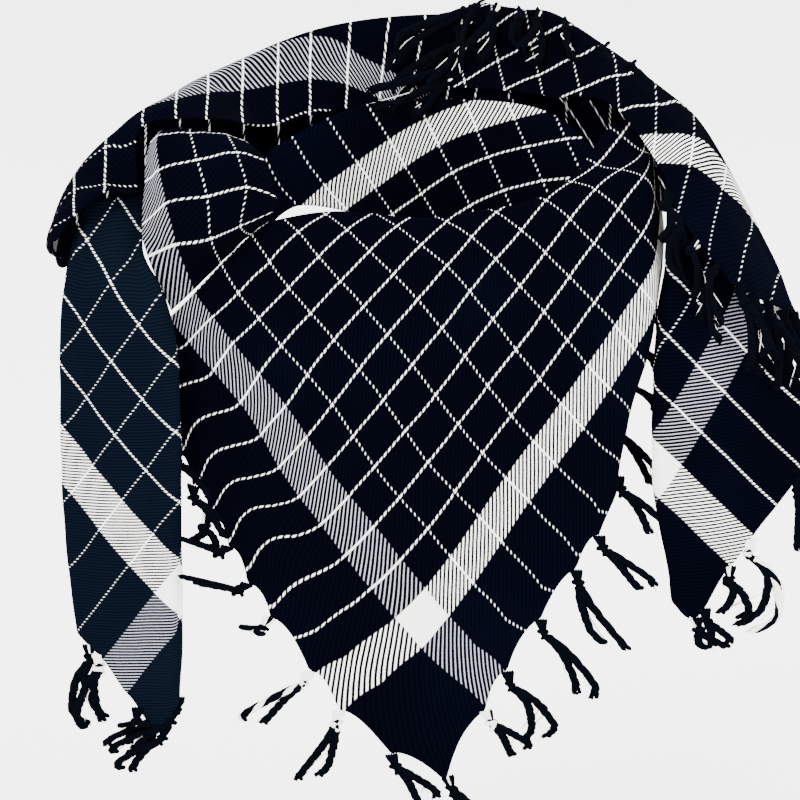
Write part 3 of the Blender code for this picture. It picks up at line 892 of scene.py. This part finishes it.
CREASES = {
    "bib": (
        (0.98, 0.30, 0.35, 0.46, 9, 2.6),
        (0.97, 0.40, 0.45, 0.52, 7, -2.4),
        (0.98, 0.55, 0.30, 0.66, 10, 3.4),
        (0.96, 0.62, 0.40, 0.74, 8, -3.0),
        (0.90, 0.70, 0.45, 0.80, 7, 2.6),
        (0.85, 0.12, 0.50, 0.30, 9, -2.2),
        (0.60, 0.20, 0.15, 0.40, 11, 2.4),
        (0.70, 0.80, 0.20, 0.84, 8, -2.6),
        (0.45, 0.55, 0.08, 0.60, 9, -2.0),
        (0.35, 0.32, 0.05, 0.48, 8, 2.2),
        (0.95, 0.22, 0.70, 0.26, 6, 2.0),
    ),
    "roll": (
        (0.05, 0.25, 0.85, 0.30, 6, -1.8),
        (0.15, 0.55, 0.95, 0.60, 8, 2.0),
        (0.05, 0.80, 0.70, 0.95, 6, -1.8),
    ),
    "nape": (
        (0.10, 0.30, 0.90, 0.75, 7, 2.2),
        (0.25, 0.10, 0.95, 0.45, 6, -2.0),
        (0.05, 0.75, 0.60, 0.90, 6, -1.6),
    ),
    "back_left": (
        (0.05, 0.62, 0.80, 0.75, 10, 3.0),
        (0.10, 0.80, 0.70, 0.90, 9, -3.0),
        (0.30, 0.20, 0.95, 0.35, 7, -2.0),
        (0.15, 0.35, 0.60, 0.42, 7, 2.0),
        (0.55, 0.55, 0.98, 0.60, 8, 2.4),
        (0.20, 0.70, 0.95, 0.95, 8, -2.4),
    ),
    "back_right": (
        (0.05, 0.62, 0.85, 0.72, 10, 3.0),
        (0.12, 0.82, 0.75, 0.88, 9, -3.0),
        (0.20, 0.18, 0.90, 0.30, 7, -2.2),
        (0.10, 0.38, 0.70, 0.45, 7, 2.0),
        (0.50, 0.50, 0.98, 0.55, 8, 2.4),
    ),
    "tail_left": (
        (0.06, 0.40, 0.90, 0.34, 8, 2.2),
        (0.03, 0.55, 0.70, 0.60, 7, -2.0),
        (0.25, 0.70, 0.98, 0.66, 7, 2.0),
        (0.02, 0.25, 0.45, 0.28, 6, -1.8),
    ),
    "tail_right": (
        (0.05, 0.35, 0.85, 0.45, 7, 2.4),
        (0.03, 0.55, 0.80, 0.52, 7, -2.4),
        (0.20, 0.68, 0.95, 0.70, 7, 2.2),
    ),
}

BLACK = (0.0003, 0.0004, 0.0012, 1.0)
# The rib colours, here and for the left tail, are painted sheen on the weft floats.
BLACK_RIB_SHEEN = (0.0005, 0.0007, 0.0019, 1.0)
# The patch colours, for the black twill here and for the left tail below, are painted highlights.
NAVY_HIGHLIGHT = (0.0005, 0.0009, 0.0028, 1.0)
# The left tail is the same twill painted lighter and bluer: painted light, as if that tail were
# more brightly lit.
LIT_INK = (0.0007, 0.0012, 0.0028, 1.0)
LIT_INK_RIB_SHEEN = (0.0014, 0.0026, 0.0058, 1.0)
LIT_TEAL_HIGHLIGHT = (0.0019, 0.0041, 0.0072, 1.0)
black = twill("black and white twill", BLACK, BLACK_RIB_SHEEN, NAVY_HIGHLIGHT, 1.0, RIBS["chest"])
dark = twill("twill of the right tail", BLACK, BLACK_RIB_SHEEN, NAVY_HIGHLIGHT, 0.85, RIBS["right tail"])
lit_blue = twill("lit twill of the left tail", LIT_INK, LIT_INK_RIB_SHEEN, LIT_TEAL_HIGHLIGHT, 0.7, RIBS["left tail"])
yarn = yarn_finish("fringe yarn", (0.0005, 0.0007, 0.0014, 1.0))

# Each piece: its frame node, form, cloth places, pleats (depth, count, lean), grid and finish.
PANEL_COLUMNS = ("name", "node", "form", "cells", "pleats", "grid", "finish")
PANELS = (
    ("bib", "bib_front", triangle, triangle_cells, (0.0, 0.0, 0.0), (150, 200), black),
    ("roll", "shoulder_left", shoulder_left, roll_cells, (0.002, 1.5, 0.4), (80, 70), black),
    ("nape", "nape_inner", nape, nape_cells, (0.0015, 1.0, 1.5), (120, 50), black),
    ("back_left", "back_left", back_left, back_left_cells, (0.002, 1.0, 3.0), (170, 90), black),
    ("back_right", "back_right", back_right, back_right_cells, (0.002, 1.0, 3.0), (160, 90), black),
    ("tail_left", "tail_left", tail_left, tail_left_cells, (0.0025, 4, 0.5), (120, 110), lit_blue),
    ("tail_right", "tail_right", tail_right, tail_right_cells, (0.0025, 4, -0.5), (100, 110), dark),
)

made = {}
forms = {}
cuts = {}
for values in PANELS:
    panel = dict(zip(PANEL_COLUMNS, values))
    form = creased(pleated(panel["form"], *panel["pleats"]), CREASES[panel["name"]])
    forms[panel["name"]] = form
    piece, cuts[panel["name"]] = cloth(
        f"{panel['name']}_cloth", form, panel["cells"], *panel["grid"], panel["finish"]
    )
    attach(piece, "root")
    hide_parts(panel["node"])
    made[panel["name"]] = piece


def across_hem(name, at, inside):
    """A hem line at a fixed p and the line just inside it, by place from 0 to 1 across."""
    form = forms[name]
    return (
        lambda place: form(np.full_like(place, at), place),
        lambda place: form(np.full_like(place, inside), place),
    )


def upright_hem(name, at, inside):
    """The same for a hem at a fixed q, by place from 0 to 1 along it."""
    form = forms[name]
    return (
        lambda place: form(place, np.full_like(place, at)),
        lambda place: form(place, np.full_like(place, inside)),
    )


TRIANGLE_SPAN = SIDE_MAX - (HEM - TOP_LEFT + CORNER)


def triangle_q(side):
    return (side - (HEM - TOP_LEFT + CORNER)) / TRIANGLE_SPAN


# Tassels: place along the hem, tip across, forward and up, curl, how pale.
BIB_RIGHT_TIPS = (
    (20, 0, -46, 0.3, 0.1),
    (32, 2, -37, 0.3, 0.9),
    (22, 4, -57, 0.9, 0.1),
    (34, 4, -62, 0.6, 0.1),
    (34, 4, -64, -0.3, 0.1),
    (44, 6, -44, 0.2, 0.05),
    (34, 6, -52, 0.4, 0.1),
    (30, 6, -50, 0.3, 0.1),
    (26, 14, -30, 0.5, 0.1),
    (17, 16, -44, 0.5, 0.1),
    (10, 18, -48, 0.4, 0.1),
)
BIB_LEFT_TIPS = (
    (30, 0, -38, 0.3, 0.0),
    (-28, 4, -62, 0.2, 0.95),
    (-48, 4, -42, -0.3, 0.95),
    (-12, 8, -8, -0.4, 0.3),
    (-50, 8, 6, 0.3, 0.1),
    (-36, 8, 8, 0.3, 0.0),
    (-12, 8, -26, 0.4, 0.1),
    (30, 10, -40, 0.3, 0.0),
    (34, 10, -38, 0.4, 0.0),
    (30, 10, -36, 0.5, 0.0),
)
bib_right = [
    (triangle_q(place - HEM), *tip) for place, tip in zip(HEM_TASSELS_RIGHT, BIB_RIGHT_TIPS)
]
bib_left = [
    (triangle_q(HEM - place), *tip) for place, tip in zip(HEM_TASSELS_LEFT[1:], BIB_LEFT_TIPS)
]

TAIL_LEFT_TASSELS = (
    (0.31, 8, 6, -62, -0.8, 0.05),
    (0.37, -2, 8, -64, -0.5, 0.95),
    (0.52, -6, 4, -14, 0.2, 0.05),
    (0.68, -32, 6, -34, -0.5, 0.05),
    (0.76, -44, 4, -36, -0.5, 0.05),
    (0.84, -52, 2, -38, -0.4, 0.05),
    (0.88, -40, 4, -42, -0.3, 0.05),
)
TAIL_RIGHT_TASSELS = (
    (0.13, 8, 6, -34, 0.2, 0.1),
    (0.24, 14, 6, -58, 0.3, 0.05),
    (0.27, 10, 6, -62, 0.2, 0.05),
    (0.44, -8, 8, -72, 1.6, 0.9),
    (0.49, -2, 8, -40, 0.6, 0.3),
    (0.58, 16, 6, -30, 0.2, 0.05),
    (0.63, 18, 6, -26, -0.2, 0.05),
)
NAPE_TASSELS = (
    (0.06, -34, 14, -20, 0.3, 0.1),
    (0.14, -80, 20, -30, 0.9, 0.3),
    (0.24, -58, 28, -44, -0.5, 0.1),
    (0.34, -38, 34, -50, 0.6, 0.2),
    (0.42, -72, 36, -34, -0.8, 0.1),
    (0.48, -18, 42, -46, -0.3, 0.3),
)
SHOULDER_FRONT_TASSELS = (
    (0.66, -2, 16, -40, 0.6, 0.02),
    (0.75, 4, 16, -52, -0.5, 0.02),
    (0.84, -2, 14, -56, 0.4, 0.5),
    (0.93, 4, 14, -50, -0.4, 0.02),
)
SHOULDER_END_TASSELS = (
    (0.08, 14, 18, -58, 0.4, 0.02),
    (0.18, 16, 17, -62, -0.3, 0.1),
    (0.28, 16, 17, -66, 0.4, 0.02),
    (0.38, 10, 16, -62, 0.2, 0.1),
    (0.46, 6, 14, -60, -0.2, 0.02),
)


TOP_LIFT = np.array([0.0, -0.004, 0.003])


def top_edge(place):
    """Where the tassels that lie on the right crest start, a little above its cloth."""
    return forms["back_right"](0.06 + 0.36 * place, np.full_like(place, 0.44)) + TOP_LIFT


def top_inside(place):
    return forms["back_right"](0.06 + 0.36 * place, np.full_like(place, 0.50)) + TOP_LIFT


TOP_TASSELS = (
    (0.05, -22, 26, -34, 0.3, 0.3),
    (0.25, 6, 28, -36, -0.4, 0.1),
    (0.45, -14, 28, -34, 0.4, 0.3),
    (0.65, 12, 30, -34, -0.3, 0.1),
    (0.85, -14, 32, -34, 0.4, 0.3),
    (0.98, 6, 32, -30, 0.3, 0.1),
)

# Each fringe: its name, the piece it hangs on, its hem and its tassels.
FRINGES = (
    ("bib_left", "bib", across_hem("bib", 0.0, 0.03), bib_left),
    ("bib_right", "bib", across_hem("bib", 0.0, 0.03), bib_right),
    ("tail_left", "tail_left", across_hem("tail_left", 1.0, 0.97), TAIL_LEFT_TASSELS),
    ("tail_right", "tail_right", across_hem("tail_right", 1.0, 0.97), TAIL_RIGHT_TASSELS),
    ("nape_end", "back_right", across_hem("back_right", 0.0, 0.03), NAPE_TASSELS),
    ("shoulder_front", "back_right", upright_hem("back_right", 0.0, 0.04), SHOULDER_FRONT_TASSELS),
    ("shoulder_end", "back_right", across_hem("back_right", 1.0, 0.97), SHOULDER_END_TASSELS),
    ("back_top", "back_right", (top_edge, top_inside), TOP_TASSELS),
)
fringes = {name: [] for name in made}
for name, owner, (edge, inside), tassels in FRINGES:
    piece = hang(f"{name}_fringe", edge, inside, tassels, yarn)
    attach(piece, "root")
    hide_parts(f"fringe_{name}")
    fringes[owner].append(piece)

# --- floor, light and camera ---------------------------------------------------------------------

FLOOR = -0.60
FLOOR_SIZE = 60.0
ELEVATION = math.radians(13)
DISTANCE = 10.0
FRAME_WIDTH = 0.64
AIM = Vector((0.0, 0.0, -0.152))


def floor():
    grid = bmesh.new()
    bmesh.ops.create_grid(grid, x_segments=1, y_segments=1, size=FLOOR_SIZE / 2)
    bmesh.ops.translate(grid, verts=grid.verts, vec=(0.0, 0.0, FLOOR))
    mesh = bpy.data.meshes.new("floor")
    grid.to_mesh(mesh)
    grid.free()
    finish, _, shader = start_material("pale floor", 0.0, 0.9)
    shader.inputs["Base Color"].default_value = (0.92, 0.92, 0.92, 1.0)
    mesh.materials.append(finish)
    made_floor = bpy.data.objects.new("floor", mesh)
    bpy.context.scene.collection.objects.link(made_floor)


def lamp(name, place, size, power):
    light = bpy.data.lights.new(name, "AREA")
    light.shape = "DISK"
    light.size = size
    light.energy = power
    made_lamp = bpy.data.objects.new(name, light)
    made_lamp.location = place
    made_lamp.rotation_euler = (AIM - Vector(place)).to_track_quat("-Z", "Y").to_euler()
    bpy.context.scene.collection.objects.link(made_lamp)


def studio():
    world = bpy.data.worlds.new("studio")
    world.use_nodes = True
    world.node_tree.nodes["Background"].inputs["Color"].default_value = (1.0, 1.0, 1.0, 1.0)
    world.node_tree.nodes["Background"].inputs["Strength"].default_value = 4.8
    bpy.context.scene.world = world
    lamp("key light", (-1.6, -2.2, 2.2), 1.2, 170.0)
    lamp("fill light", (2.2, -1.6, 1.2), 1.6, 70.0)
    lamp("rim light", (0.6, 2.4, 1.8), 1.2, 70.0)


def camera():
    lens = bpy.data.cameras.new("camera")
    lens.sensor_width = 36.0
    lens.lens = lens.sensor_width * DISTANCE / FRAME_WIDTH
    lens.clip_end = 200.0
    made_camera = bpy.data.objects.new("camera", lens)
    away = Vector((0.0, -math.cos(ELEVATION), math.sin(ELEVATION)))
    made_camera.location = AIM + away * DISTANCE
    made_camera.rotation_euler = (-away).to_track_quat("-Z", "Y").to_euler()
    bpy.context.scene.collection.objects.link(made_camera)
    bpy.context.scene.camera = made_camera


floor()
studio()
camera()
